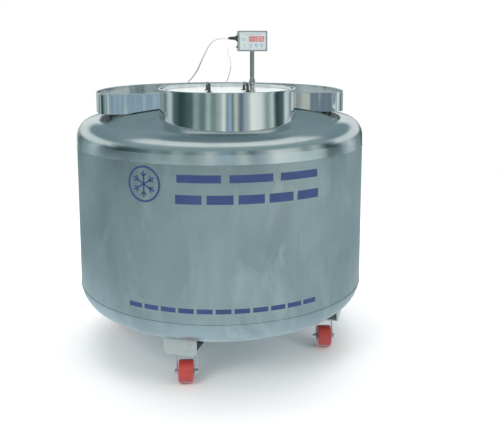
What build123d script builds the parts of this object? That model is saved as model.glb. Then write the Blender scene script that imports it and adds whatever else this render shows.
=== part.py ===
from build123d import *
import os
from math import atan2, cos, pi, radians, sin, sqrt, tan

os.makedirs("parts", exist_ok=True)

# Wide-necked liquid nitrogen storage dewar on four swivel casters. Millimetres, +Z up.
# Origin: on the floor, under the axis of the round vessel. The neck lies off centre, towards -Y.

# --- overall sizes ---
body_radius = 550.0
vessel_height = 892.1           # from the bottom head's lowest point to the top head's crown
wheel_radius = 40.0


def head_depth(radius, knuckle, crown):
    """Height of a dished head between its tangent line and its pole."""
    return crown - sqrt((crown - knuckle) ** 2 - (radius - knuckle) ** 2)


# --- outer vacuum vessel ---
shell_wall = 4.0
caster_height = 2 * wheel_radius + 30.0
vessel_low_z = caster_height - 53.5
bottom_knuckle = 96.0
bottom_crown = 2 * body_radius
bottom_tangent_z = vessel_low_z + head_depth(body_radius, bottom_knuckle, bottom_crown)
bottom_seam_z = bottom_tangent_z - 8.0      # weld between shell and bottom head
dome_top_z = vessel_low_z + vessel_height
top_knuckle = 70.0
top_flatness = 2000.0 / 550.0    # the top head's crown radius over its own radius
top_crown = top_flatness * body_radius
top_tangent_z = dome_top_z - head_depth(body_radius, top_knuckle, top_crown)
top_seam_z = top_tangent_z - 34.0           # weld between shell and the top head's straight flange
weld_bead = 1.2                 # the weld beads stand this proud and reach this far up and down

# --- inner vessel ---
vacuum_gap = 60.0               # between the outer shell's outside and the inner vessel's outside
inner_radius = body_radius - vacuum_gap
inner_wall = 3.0
inner_bottom_tangent_z = bottom_tangent_z + 69.0
inner_bottom_knuckle = 85.0
inner_bottom_crown = 2 * inner_radius
inner_top_tangent_z = top_tangent_z - 48.0
inner_top_knuckle = 60.0
inner_top_flatness = 1900.0 / 490.0
inner_top_crown = inner_top_flatness * inner_radius
blanket_thickness = 22.0
blanket_gap = 1.0

# --- neck, flange and collar ---
neck_bore_radius = 200.0
neck_wall = 3.0
collar_radius = neck_bore_radius + 37.0
collar_wall = 3.0
collar_bore_radius = collar_radius - collar_wall
neck_offset = body_radius - collar_radius - 51.0
flange_top_z = dome_top_z + 21.4
flange_thickness = 8.0
collar_rim_z = dome_top_z + 63.4
rim_lip = 4.0
rim_lip_height = 6.0
neck = Pos(0, -neck_offset, 0)

# --- tray around the back of the collar ---
tray_radius = body_radius - 76.0
tray_front = neck_offset - 96.0     # the straight front edges lie this far ahead of the vessel axis
tray_floor_top_z = dome_top_z + 8.4
tray_floor_thickness = 3.0
tray_rim_z = dome_top_z + 35.4
tray_band_height = 72.0
tray_band_wall = 3.0
tray_corner = 35.0              # outer radius of the two front corners, in plan
tray_collar_gap = 4.0           # gap left between tray and collar
tray_dome_gap = 3.0             # least gap between the band's lower edge and the dome
foot_width = 40.0
foot_thickness = 4.0
foot_flange = 26.0
foot_inset = 40.0               # foot wall inside the band's radius
foot_angles = (-95, -57, -19, 19, 57, 95)   # about the vessel axis, from +Y

# --- pieces in and on the vacuum space ---
post_radius = 60.0
post_wall = 6.0
canister_radius = 55.0
canister_height = 36.0
canister_y = 230.0
port_y = 330.0
port_radius = 22.0
port_wall = 4.0
port_end_z = vessel_low_z + 5.5
cap_wall = 4.0
cap_grip = 22.0

# --- caster brackets and casters ---
caster_angles = (-22.5, 67.5, 157.5, 247.5)  # from -Y, towards +X
caster_turn = -5.6              # how far the casters have swung from the neck's direction
swivel_radius = body_radius - 135.0
bracket_radius = body_radius - 70.0
bracket_width = 120.0
bracket_depth = 150.0
bracket_plate = 4.0
bracket_chamfer = 12.0
wheel_width = 52.0
tyre_thickness = 13.0
hub_radius = wheel_radius - tyre_thickness
hub_boss = 10.0
caster_trail = 35.0
caster_plate = 3.0
caster_plate_side = 88.0
race_radius = 24.0
race_height = 8.0
king_radius = 6.0
king_head_radius = 11.0
king_head_height = 5.0
fork_wall = 3.0
fork_gap = 4.0                  # between wheel and fork leg
fork_end_radius = 12.0
fork_half_length = 22.0
hub_inset = 1.0                 # hub web set in from the tyre's sides
tyre_round = 6.0
axle_radius = 5.0
axle_head = 8.5
axle_head_thickness = 6.0
axle_dome = 6.5                 # radius of the cap nut's dome
running_fit = 0.05
face_gap = 0.3
bolt_spacing = 60.0
bolt_radius = 4.0
bolt_head_radius = 6.5
bolt_head_height = 5.0

# --- carousel inside ---
carousel_radius = inner_radius - 52.0
carousel_floor_z = inner_bottom_tangent_z - 55.0
carousel_plate = 4.0
divider_height = 330.0
divider_wall = 2.0
column_radius = 42.0
column_wall = 3.0
sector_count = 6
pivot_radius = 22.0
pivot_pin_radius = 8.0
pivot_pin_height = 40.0
hub_boss_radius = 30.0

# --- lid ---
lid_top_z = flange_top_z + 30.0
lid_radius = collar_bore_radius - 5.0
lid_wall = 3.0
lid_round = 2.5
seal_thickness = 3.0
seal_inner_radius = neck_bore_radius + 6.0
seal_outer_radius = neck_bore_radius + 22.0
plug_gap = 2.0                  # between foam plug and neck bore
plug_bottom_z = flange_top_z - 118.0
handle_spread = 66.5            # handles at this distance each side of the neck axis
handle_length = 104.0
handle_top_z = lid_top_z + 32.0
handle_bar_radius = 5.0
handle_corner = 20.0
handle_foot_radius = 9.0
handle_foot_height = 3.0

# --- gauge post, gland and display ---
gauge_x = 84.0
gauge_y = -neck_offset - 38.0
gauge_post_radius = 7.5
gauge_post_wall = 1.5
gauge_post_bottom_z = plug_bottom_z - 20.0
probe_radius = 4.0
probe_bottom_z = plug_bottom_z - 46.0
probe_grip = 20.0
gland_radius = 9.0
gland_nut_radius = 11.5
gland_nut_z = lid_top_z + 26.0
gland_nut_height = 22.0
gland_base_radius = 12.0
gland_base_height = 6.0
post_fit = 0.3
display_width = 101.0
display_height = 70.0
display_depth = 34.0
display_bottom_z = lid_top_z + 140.0
display_wall = 2.5
bezel_depth = 10.0
bezel_plate = 3.0
window_width = 52.0
window_height = 19.0
window_shift = 12.5
window_z = display_bottom_z + 42.0
window_recess = 0.5
key_z = display_bottom_z + 22.0
key_pitch = 19.0
key_count = 3
key_radius = 4.0
key_hole_gap = 0.3
key_proud = 2.0
key_flange = 1.6
key_flange_lip = 1.5
key_chamfer = 0.5
key_travel = 1.0
lamp_radius = 2.0
lamp_gap_from_key = 21.0
lamp_proud = 0.5
digit_side_gap = 2.0
digit_end_gap = 1.0
board_thickness = 1.6
board_margin = 3.0
corner_round = 3.0

# --- leads ---
lead_radius = 2.5
lead_gland_z = display_bottom_z + 44.5
lead_gland_base_radius = 12.5
lead_gland_base = 5.0
lead_gland_end_radius = 5.0
lead_gland_length = 32.0
lead_gland_taper = 2.0          # narrowing of the gland from its base to its end
sensor_radius = 1.5
sensor_outlet_z = display_bottom_z + 15.0
grommet_radius = 4.0
grommet_length = 4.0
feed_x = 72.5
feed_y = body_radius - 41.5
feed_top_z = dome_top_z - 23.6
feed_radius = 7.0
feed_base_radius = 12.0
feed_base_z = dome_top_z - 56.6
coil_x = 0.0
coil_y = body_radius + 5.0
coil_mean_radius = 28.0
coil_turns_across = 3
coil_turns_high = 2
plug_body_length = 38.0
plug_body_radius = 11.0
plug_neck_length = 24.0
plug_neck_wall = 0.5
plug_round = 2.0
plug_distance = 10.0            # the plug's neck starts this far to the side of the coil's axis
pin_length = 19.0
pin_radius = 2.4
pin_spacing = 18.6
lead_first_run = 29.5           # level run of the power lead out of its gland
sensor_first_run = 18.5
bend_share = 0.45               # share of the shorter run that a cord's bend takes up

front_y = gauge_y - display_depth / 2
seam_y = front_y + bezel_depth
box_left = gauge_x - display_width / 2

# each lead is given over the tray by its side step, its way back from the gauge and its height over the dome
drawn_reach = 808.5             # from the gauge back to the feedthrough, as these points are laid
reach = (feed_y - gauge_y) / drawn_reach
lead_over_tray = [
    (-50, 28, 227.4), (-60, 85, 208.9), (-64.5, 150, 190.4), (-69, 220, 169.9), (-73.5, 290, 149.9),
    (-77, 360, 129.4), (-80.5, 430, 110.4), (-85, 502, 92.9), (-90, 572, 77.9), (-94, 638, 64.9),
    (-97.5, 695, 54.9), (-99.5, 740, 48.9), (-101.5, 782, 45.9), (-105, 813, 22.4), (-108.5, 833, -18.6),
]
sensor_over_tray = [
    (0.5, 13, 201.4), (3, 38, 190.9), (11, 84, 174.4), (23, 140, 158.4), (30, 196, 142.9), (35, 252, 128.4),
    (39.5, 308, 114.4), (43, 364, 101.4), (46, 418, 89.4), (48.5, 471, 77.9), (51.5, 524, 67.9),
    (55, 577, 59.9), (58.5, 631, 53.4), (62, 685, 48.4), (65.5, 737, 45.4), (68.5, 784, 44.4),
    (71.5, 804, 27.4), (72.5, 808.5, 1.4),
]
# behind the vessel the power lead is given by its side step, its distance outside the shell and its height
drawn_top = 948.6               # height of the dome, as these points are laid
drop = dome_top_z / drawn_top
lead_behind = [
    (-111, -3, 878), (-112, -0.5, 812), (-110, 1, 740), (-113, -0.5, 668), (-116, 0, 596), (-113.5, 1.5, 524),
    (-110, 0.5, 452), (-112, 1, 380), (-116, 0.5, 310), (-114, 2, 240), (-111, 0.5, 170), (-112, 2, 108),
    (-108, 7, 60), (-96, 17, 24),
]
lead_on_floor = [(-72, 28, 5), (-43, 35.5, 2.8), (-15, 38, 2.8)]


def over_tray(points):
    """Points above the tray, laid out for this vessel."""
    return [(x, gauge_y + back * reach, dome_top_z + rise) for x, back, rise in points]


lead_route = [(box_left - lead_gland_length, gauge_y, lead_gland_z),
              (box_left - lead_gland_length - lead_first_run, gauge_y, lead_gland_z)]
lead_route += over_tray(lead_over_tray)
lead_route += [(x, body_radius + out, z * drop) for x, out, z in lead_behind]
lead_route += [(x, body_radius + out, z) for x, out, z in lead_on_floor]
sensor_route = [(box_left - grommet_length, gauge_y, sensor_outlet_z),
                (box_left - grommet_length - sensor_first_run, gauge_y, sensor_outlet_z)]
sensor_route += over_tray(sensor_over_tray)
sensor_route += [(feed_x, feed_y, feed_top_z)]


def save(shape, name):
    export_step(shape, f"parts/{name}.step")


def upright(radius, low, high):
    """A solid cylinder about Z between two heights."""
    return Pos(0, 0, (low + high) / 2) * Cylinder(radius, high - low)


def ring(outer, inner, low, high):
    """A round ring about Z between two heights."""
    return upright(outer, low, high) - upright(inner, low - 1, high + 1)


def block(x, y, z):
    """A box given by its low and high values along each axis."""
    middle = Pos((x[0] + x[1]) / 2, (y[0] + y[1]) / 2, (z[0] + z[1]) / 2)
    return middle * Box(x[1] - x[0], y[1] - y[0], z[1] - z[0])


def along_y(radius, low, high):
    """A solid cylinder along Y through the origin's XZ point."""
    return Pos(0, (low + high) / 2, 0) * Rot(90, 0, 0) * Cylinder(radius, high - low)


def head_arcs(radius, knuckle, crown, tangent_z, up):
    """The knuckle and crown arcs of a dished head, from the wall to the axis."""
    sign = 1 if up else -1
    rise = sqrt((crown - knuckle) ** 2 - (radius - knuckle) ** 2)
    turn = atan2(rise, radius - knuckle)

    def on_knuckle(angle):
        return (radius - knuckle + knuckle * cos(angle), tangent_z + sign * knuckle * sin(angle))

    def on_crown(angle):
        return (crown * cos(angle), tangent_z + sign * (crown * sin(angle) - rise))

    knuckle_arc = ThreePointArc(on_knuckle(0), on_knuckle(turn / 2), on_knuckle(turn))
    crown_middle = on_crown((turn + pi / 2) / 2)
    pole = (0, tangent_z + sign * (crown - rise))
    crown_arc = ThreePointArc(on_crown(turn), crown_middle, pole)
    return knuckle_arc, crown_arc, pole


def vessel(radius, bottom, top, grow=0.0):
    """A filled vessel with dished heads, made larger or smaller all round by grow."""
    bottom_knuckle_arc, bottom_crown_arc, low_pole = head_arcs(
        radius + grow, bottom[0] + grow, bottom[1] + grow, bottom[2], False)
    top_knuckle_arc, top_crown_arc, high_pole = head_arcs(
        radius + grow, top[0] + grow, top[1] + grow, top[2], True)
    wall = Line((radius + grow, bottom[2]), (radius + grow, top[2]))
    axis = Line(high_pole, low_pole)
    outline = Curve() + [bottom_crown_arc, bottom_knuckle_arc, wall, top_knuckle_arc, top_crown_arc, axis]
    return revolve(make_face(Plane.XZ * outline), Axis.Z)


outer_bottom = (bottom_knuckle, bottom_crown, bottom_tangent_z)
outer_top = (top_knuckle, top_crown, top_tangent_z)
inner_bottom = (inner_bottom_knuckle, inner_bottom_crown, inner_bottom_tangent_z)
inner_top = (inner_top_knuckle, inner_top_crown, inner_top_tangent_z)

outer_filled = vessel(body_radius, outer_bottom, outer_top)
outer_space = vessel(body_radius, outer_bottom, outer_top, -shell_wall)
inner_filled = vessel(inner_radius, inner_bottom, inner_top)
inner_space = vessel(inner_radius, inner_bottom, inner_top, -inner_wall)


def slab(low, high):
    return upright(2 * body_radius, low, high)


def outer_vessel():
    wall = outer_filled - outer_space
    bottom = wall & slab(0, bottom_seam_z)
    port_hole = Pos(0, port_y, 0) * upright(port_radius - port_wall, 0, bottom_seam_z)
    save(bottom - port_hole, "outer_bottom_head")
    shell = wall & slab(bottom_seam_z, top_seam_z)
    for seam_z in (bottom_seam_z, top_seam_z):
        bead = ring(body_radius + weld_bead, inner_radius, seam_z - weld_bead, seam_z + weld_bead)
        shell += bead - outer_filled
    save(shell, "outer_shell")
    top = wall & slab(top_seam_z, collar_rim_z)
    save(top - neck * upright(collar_bore_radius, top_seam_z, collar_rim_z), "outer_top_head")


def inner_vessel():
    wall = inner_filled - inner_space
    save(wall & slab(0, inner_bottom_tangent_z), "inner_bottom_head")
    save(wall & slab(inner_bottom_tangent_z, inner_top_tangent_z), "inner_cylinder")
    top = wall & slab(inner_top_tangent_z, collar_rim_z)
    save(top - neck * upright(neck_bore_radius, inner_top_tangent_z, collar_rim_z), "inner_top_head")


def vacuum_pieces():
    inside = vessel(inner_radius, inner_bottom, inner_top, blanket_gap)
    outside = vessel(inner_radius, inner_bottom, inner_top, blanket_gap + blanket_thickness)
    blanket = (outside - inside) & slab(0, inner_top_tangent_z)
    blanket -= upright(post_radius + blanket_gap, 0, inner_bottom_tangent_z)
    save(blanket, "insulation_blanket")
    post = ring(post_radius, post_radius - post_wall, 0, inner_bottom_tangent_z)
    save((post & outer_space) - inner_filled, "support_post")
    crown_height = inner_filled.bounding_box().max.Z
    can = Pos(0, canister_y, 0) * upright(canister_radius, inner_top_tangent_z, crown_height + canister_height)
    save(can - inner_filled, "adsorbent_canister")
    port = Pos(0, port_y, 0) * ring(port_radius, port_radius - port_wall, port_end_z, bottom_seam_z)
    save((port - outer_filled).solids().sort_by(Axis.Z)[0], "evacuation_port")
    cap = upright(port_radius + cap_wall, port_end_z - cap_wall, port_end_z + cap_grip)
    cap -= upright(port_radius, port_end_z, port_end_z + cap_grip + 1)
    save(Pos(0, port_y, 0) * cap, "port_cap")


def neck_pieces():
    flange_low = flange_top_z - flange_thickness
    tube = neck * ring(neck_bore_radius + neck_wall, neck_bore_radius, inner_bottom_tangent_z, flange_low)
    save((tube - inner_filled).solids().sort_by(Axis.Z)[-1], "neck_tube")
    save(neck * ring(collar_bore_radius, neck_bore_radius, flange_low, flange_top_z), "neck_flange")
    collar = ring(collar_radius, collar_bore_radius, bottom_tangent_z, collar_rim_z)
    lip = ring(collar_radius + rim_lip, collar_bore_radius, collar_rim_z - rim_lip_height, collar_rim_z)
    standing = neck * (collar + fillet(lip.edges().group_by(Axis.Z)[-1].sort_by(SortBy.LENGTH)[-1], rim_lip / 2))
    save((standing - outer_filled).solids().sort_by(Axis.Z)[-1], "neck_collar")


def tray_disc(inset):
    """The tray's plan without its cut-out: a disc cut off in front, with round corners, set in by the inset."""
    disc = Circle(tray_radius - inset)
    disc -= Pos(0, inset - tray_front - tray_radius) * Rectangle(3 * tray_radius, 2 * tray_radius)
    return fillet(disc.vertices().group_by(Axis.Y)[0], tray_corner - inset)


def tray():
    collar_space = Pos(0, -neck_offset) * Circle(collar_radius + tray_collar_gap)
    floor_low = tray_floor_top_z - tray_floor_thickness
    floor = tray_disc(tray_band_wall) - collar_space
    save(Pos(0, 0, floor_low) * extrude(floor, tray_floor_thickness), "tray_floor")
    outline = tray_disc(0) - tray_disc(tray_band_wall) - collar_space
    band = Pos(0, 0, tray_rim_z - tray_band_height) * extrude(outline, tray_band_height)
    save(band - vessel(body_radius, outer_bottom, outer_top, tray_dome_gap), "tray_band")
    feet = []
    wall_radius = tray_radius - foot_inset
    for angle in foot_angles:
        web = block((-foot_width / 2, foot_width / 2), (wall_radius - foot_thickness, wall_radius),
                    (top_tangent_z, floor_low))
        shelf = block((-foot_width / 2, foot_width / 2), (wall_radius - foot_flange, wall_radius),
                      (floor_low - foot_thickness, floor_low))
        feet.append(Rot(0, 0, angle) * (web + shelf) - outer_filled)
    save(Compound(children=feet), "tray_feet")


def caster_place(angle):
    """The frame of one caster: Z up through the swivel, trail towards -Y."""
    direction = radians(angle)
    x = swivel_radius * sin(direction)
    y = -swivel_radius * cos(direction)
    return Pos(x, y, 0) * Rot(0, 0, caster_turn)


def brackets():
    faces = []
    half = bracket_width / 2
    face_outline = make_face(Plane.XZ * Polyline(
        (-half, bottom_tangent_z), (-half, caster_height + bracket_chamfer),
        (-half + bracket_chamfer, caster_height), (half - bracket_chamfer, caster_height),
        (half, caster_height + bracket_chamfer), (half, bottom_tangent_z), close=True))
    for angle in caster_angles:
        upright_plate = Pos(0, -bracket_radius + bracket_plate, 0) * extrude(face_outline, bracket_plate)
        level_plate = block((-half + bracket_chamfer, half - bracket_chamfer),
                            (-bracket_radius, -bracket_radius + bracket_depth),
                            (caster_height, caster_height + bracket_plate))
        folded = Rot(0, 0, angle) * (upright_plate + level_plate) - outer_filled
        folded -= caster_holes(angle)
        faces.append(folded.solids().sort_by(Axis.Z)[0])
    save(Compound(children=faces), "caster_brackets")


def bolt_places(angle):
    direction = radians(angle)
    centre = Pos(swivel_radius * sin(direction), -swivel_radius * cos(direction), 0) * Rot(0, 0, angle)
    half = bolt_spacing / 2
    return [centre * Pos(x, y, 0) for x in (-half, half) for y in (-half, half)]


def caster_holes(angle):
    low = caster_height - caster_plate
    return Compound(children=[place * upright(bolt_radius, low - 1, caster_height + bracket_plate + 1)
                              for place in bolt_places(angle)])


def caster_plates():
    plates = []
    bolts = []
    low = caster_height - caster_plate
    half = caster_plate_side / 2
    for angle in caster_angles:
        direction = radians(angle)
        place = Pos(swivel_radius * sin(direction), -swivel_radius * cos(direction), 0) * Rot(0, 0, angle)
        plate = place * block((-half, half), (-half, half), (low, caster_height)) - caster_holes(angle)
        race = upright(race_radius, low - race_height, low)
        fork_top = low - race_height - face_gap
        pin = upright(king_radius, fork_top - fork_wall - face_gap, low)
        head = upright(king_head_radius, fork_top - fork_wall - face_gap - king_head_height,
                       fork_top - fork_wall - face_gap)
        plates.append(plate + place * (race + pin + head))
        for spot in bolt_places(angle):
            shank = upright(bolt_radius, low, caster_height + bracket_plate)
            top = upright(bolt_head_radius, caster_height + bracket_plate,
                          caster_height + bracket_plate + bolt_head_height)
            foot = upright(bolt_head_radius, low - bolt_head_height, low)
            bolts.append(spot * (shank + top + foot))
    save(Compound(children=plates), "caster_top_plates")
    save(Compound(children=bolts), "caster_bolts")


def caster(number, angle):
    place = caster_place(angle)
    fork_top = caster_height - caster_plate - race_height - face_gap
    inside = wheel_width / 2 + fork_gap
    outside = inside + fork_wall
    axle_end = Pos(caster_trail, wheel_radius) * Circle(fork_end_radius)
    root = Pos(0, fork_top - fork_wall) * Rectangle(2 * fork_half_length, 2 * fork_wall)
    side = make_hull(axle_end.edges() + root.edges())
    leg = Rot(0, 0, -90) * Rot(90, 0, 0) * extrude(side, fork_wall)
    top = block((-outside, outside), (-fork_half_length, fork_half_length), (fork_top - fork_wall, fork_top))
    left = Pos(-inside, 0, 0) * leg
    right = Pos(outside, 0, 0) * leg
    fork = (left + right) & slab(0, fork_top)
    fork = fork + top - upright(king_radius + running_fit, 0, caster_height)
    axle_line = Pos(0, -caster_trail, wheel_radius) * Rot(0, 90, 0)
    fork -= axle_line * Cylinder(axle_radius, 4 * outside)
    bolt = Cylinder(axle_radius, 2 * outside)
    head = extrude(RegularPolygon(axle_head, 6), axle_head_thickness)
    bolt += Pos(0, 0, outside) * head
    bolt += Pos(0, 0, -outside - axle_head_thickness) * head
    cap_side = 1 if number % 2 else -1
    bolt += Pos(0, 0, cap_side * (outside + axle_head_thickness)) * Sphere(axle_dome)
    save(place * Compound(children=[fork, axle_line * bolt]), f"caster_fork_{number}")
    hub = Cylinder(hub_radius, wheel_width - 2 * hub_inset) + Cylinder(hub_boss, wheel_width + 2 * hub_inset)
    hub -= Cylinder(axle_radius + running_fit, 2 * wheel_width)
    save(place * axle_line * hub, f"caster_hub_{number}")
    tread = Cylinder(wheel_radius, wheel_width)
    tread = fillet(tread.edges(), tyre_round)
    save(place * axle_line * (tread - Cylinder(hub_radius, 2 * wheel_width)), f"caster_tyre_{number}")


def carousel():
    floor_low = carousel_floor_z - carousel_plate
    shoulder = floor_low - face_gap
    pivot = upright(pivot_radius, 0, shoulder) & inner_space
    pivot += upright(pivot_pin_radius, shoulder, shoulder + pivot_pin_height)
    save(pivot, "carousel_pivot")
    bore = upright(pivot_pin_radius + running_fit, 0, collar_rim_z)
    hub = upright(hub_boss_radius, carousel_floor_z, carousel_floor_z + pivot_pin_height)
    plate = upright(carousel_radius, floor_low, carousel_floor_z)
    save(plate + hub - bore, "carousel_tray")
    top = carousel_floor_z + divider_height
    column = ring(column_radius, column_radius - column_wall, carousel_floor_z, top)
    walls = [column]
    for index in range(sector_count):
        wall = block((-divider_wall / 2, divider_wall / 2), (column_radius - column_wall, carousel_radius),
                     (carousel_floor_z, top))
        wall -= upright(column_radius, carousel_floor_z - 1, top + 1)
        walls.append(Rot(0, 0, (index + 0.5) * 360 / sector_count) * wall)
    save(Compound(children=walls), "carousel_dividers")


def lid():
    cover_low = flange_top_z + seal_thickness
    gauge_hole = Pos(gauge_x, gauge_y, 0) * upright(gauge_post_radius + post_fit, 0, 2 * collar_rim_z)
    cover = upright(lid_radius, cover_low, lid_top_z)
    cover = fillet(cover.edges().group_by(Axis.Z)[-1], lid_round)
    cover -= upright(lid_radius - lid_wall, cover_low - 1, lid_top_z - lid_wall)
    save(neck * cover - gauge_hole, "lid_cover")
    foam = upright(lid_radius - lid_wall, cover_low, lid_top_z - lid_wall)
    foam += upright(neck_bore_radius - plug_gap, plug_bottom_z, cover_low)
    save(neck * foam - gauge_hole, "foam_plug")
    save(neck * ring(seal_outer_radius, seal_inner_radius, flange_top_z, cover_low), "lid_seal")
    bar_z = handle_top_z - handle_bar_radius
    half = handle_length / 2
    handles = []
    for x in (-handle_spread, handle_spread):
        path = FilletPolyline((x, -half, lid_top_z), (x, -half, bar_z), (x, half, bar_z), (x, half, lid_top_z),
                              radius=handle_corner)
        bow = sweep(Plane(origin=path @ 0, z_dir=path % 0) * Circle(handle_bar_radius), path=path)
        for y in (-half, half):
            bow += Pos(x, y, 0) * upright(handle_foot_radius, lid_top_z, lid_top_z + handle_foot_height)
        handles.append(neck * bow)
    save(Compound(children=handles), "lid_handles")


def gauge_post():
    place = Pos(gauge_x, gauge_y, 0)
    tube = ring(gauge_post_radius, gauge_post_radius - gauge_post_wall, gauge_post_bottom_z, display_bottom_z)
    save(place * tube, "gauge_post")
    probe = upright(probe_radius, probe_bottom_z, gauge_post_bottom_z)
    probe += upright(gauge_post_radius - gauge_post_wall, gauge_post_bottom_z, gauge_post_bottom_z + probe_grip)
    save(place * probe, "probe_rod")
    body = upright(gland_radius, lid_top_z, gland_nut_z)
    body += Pos(0, 0, lid_top_z) * extrude(RegularPolygon(gland_base_radius, 6), gland_base_height)
    save(place * (body - upright(gauge_post_radius, 0, collar_rim_z * 2)), "gland_body")
    nut = Pos(0, 0, gland_nut_z) * extrude(RegularPolygon(gland_nut_radius, 6), gland_nut_height)
    save(place * (nut - upright(gauge_post_radius, 0, collar_rim_z * 2)), "gland_nut")


def display():
    back_y = front_y + display_depth
    x_span = (box_left, box_left + display_width)
    z_span = (display_bottom_z, display_bottom_z + display_height)
    inner_x = (x_span[0] + display_wall, x_span[1] - display_wall)
    inner_z = (z_span[0] + display_wall, z_span[1] - display_wall)
    front = block(x_span, (front_y, seam_y), z_span)
    front = fillet(front.edges().filter_by(Axis.Y), corner_round)
    front -= block(inner_x, (front_y + bezel_plate, seam_y + 1), inner_z)
    window_x = gauge_x + window_shift
    window_span = (window_x - window_width / 2, window_x + window_width / 2)
    window_rise = (window_z - window_height / 2, window_z + window_height / 2)
    front -= block(window_span, (front_y - 1, front_y + bezel_plate + 1), window_rise)
    for index in range(key_count):
        front -= key_place(index) * along_y(key_radius + key_hole_gap, front_y - 1, front_y + bezel_plate + 1)
    lamp_place = key_place(0) * Pos(-lamp_gap_from_key, 0, 0)
    front -= lamp_place * along_y(lamp_radius, front_y - 1, front_y + bezel_plate + 1)
    save(front, "display_front")
    back = block(x_span, (seam_y, back_y), z_span)
    back = fillet(back.edges().filter_by(Axis.Y), corner_round)
    back -= block(inner_x, (seam_y - 1, back_y - display_wall), inner_z)
    save(back, "display_back")
    pane = block(window_span, (front_y + window_recess, front_y + bezel_plate), window_rise)
    save(pane, "display_window")
    board_front = front_y + bezel_plate + key_flange + 2 * face_gap + key_travel
    board = block((inner_x[0] + board_margin, inner_x[1] - board_margin),
                  (board_front, board_front + board_thickness),
                  (inner_z[0] + board_margin, inner_z[1] - board_margin))
    save(board, "circuit_board")
    digits = block((window_span[0] + digit_side_gap, window_span[1] - digit_side_gap),
                   (front_y + bezel_plate, board_front),
                   (window_rise[0] + digit_end_gap, window_rise[1] - digit_end_gap))
    save(digits, "digit_module")
    save(lamp_place * along_y(lamp_radius, front_y - lamp_proud, board_front), "status_lamp")
    for index in range(key_count):
        key = along_y(key_radius, front_y - key_proud, front_y + bezel_plate + face_gap + key_flange)
        key = chamfer(key.edges().group_by(Axis.Y)[0], key_chamfer)
        key += along_y(key_radius + key_flange_lip, front_y + bezel_plate + face_gap,
                       front_y + bezel_plate + face_gap + key_flange)
        save(key_place(index) * key, f"key_{index + 1}")


def key_place(index):
    first = gauge_x + window_shift - (key_count - 1) * key_pitch / 2
    return Pos(first + index * key_pitch, 0, key_z)


def outlets():
    gland = Cylinder(lead_gland_base_radius, lead_gland_base)
    taper = Cone(lead_gland_end_radius + lead_gland_taper, lead_gland_end_radius,
                 lead_gland_length - lead_gland_base)
    gland = Pos(0, 0, lead_gland_base / 2) * gland
    gland += Pos(0, 0, (lead_gland_length + lead_gland_base) / 2) * taper
    save(Pos(box_left, gauge_y, lead_gland_z) * Rot(0, -90, 0) * gland, "lead_gland")
    grommet = Pos(box_left - grommet_length / 2, gauge_y, sensor_outlet_z) * Rot(0, 90, 0)
    save(grommet * Cylinder(grommet_radius, grommet_length), "sensor_grommet")
    base = upright(feed_base_radius, top_tangent_z, feed_base_z)
    feed = Pos(feed_x, feed_y, 0) * (base + upright(feed_radius, feed_base_z, feed_top_z))
    save((feed - outer_filled).solids().sort_by(Axis.Z)[-1], "sensor_feedthrough")


def cord(route, radius, name):
    """A round lead along straight runs joined by tangent arcs."""
    points = [Vector(*point) for point in route]
    runs = [after - before for before, after in zip(points, points[1:])]
    radii = []
    for before, after in zip(runs, runs[1:]):
        half_turn = radians(before.get_angle(after)) / 2
        radii.append(bend_share * min(before.length, after.length) / tan(half_turn))
    path = FilletPolyline(*points, radius=radii)
    lead = sweep(Plane(origin=path @ 0, z_dir=path % 0) * Circle(radius), path=path)
    save(lead, name)
    print(name, "length", round(path.length), "runs", [round(run.length) for run in runs])
    print(name, "radii", [round(value) for value in radii])
    print(name, "volume ratio", round(lead.volume / (path.length * pi * radius ** 2), 4))


def coil_and_plug():
    pitch = 2 * lead_radius
    half_width = pitch * coil_turns_across / 2
    height = pitch * coil_turns_high
    centre = Pos(coil_x, coil_y, 0)
    outer = coil_mean_radius + half_width
    save(centre * ring(outer, coil_mean_radius - half_width, 0, height), "lead_coil")
    neck_part = Cone(lead_radius + plug_neck_wall, plug_body_radius / 2, plug_neck_length)
    body = fillet(Cylinder(plug_body_radius, plug_body_length).edges().sort_by(Axis.Z)[-1], plug_round)
    plug = Pos(0, 0, plug_neck_length / 2) * neck_part
    plug += Pos(0, 0, plug_neck_length + plug_body_length / 2) * body
    lying = Pos(coil_x - plug_distance, coil_y - outer + lead_radius, plug_body_radius) * Rot(0, -90, 0)
    save(lying * plug, "mains_plug")
    start = plug_neck_length + plug_body_length
    pins = [lying * Pos(0, y, start + pin_length / 2) * Cylinder(pin_radius, pin_length)
            for y in (-pin_spacing / 2, pin_spacing / 2)]
    save(Compound(children=pins), "plug_pins")


outer_vessel()
inner_vessel()
vacuum_pieces()
neck_pieces()
tray()
brackets()
caster_plates()
for number, angle in enumerate(caster_angles, 1):
    caster(number, angle)
carousel()
lid()
gauge_post()
display()
outlets()
cord(lead_route, lead_radius, "power_lead")
cord(sensor_route, sensor_radius, "sensor_lead")
coil_and_plug()
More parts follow.
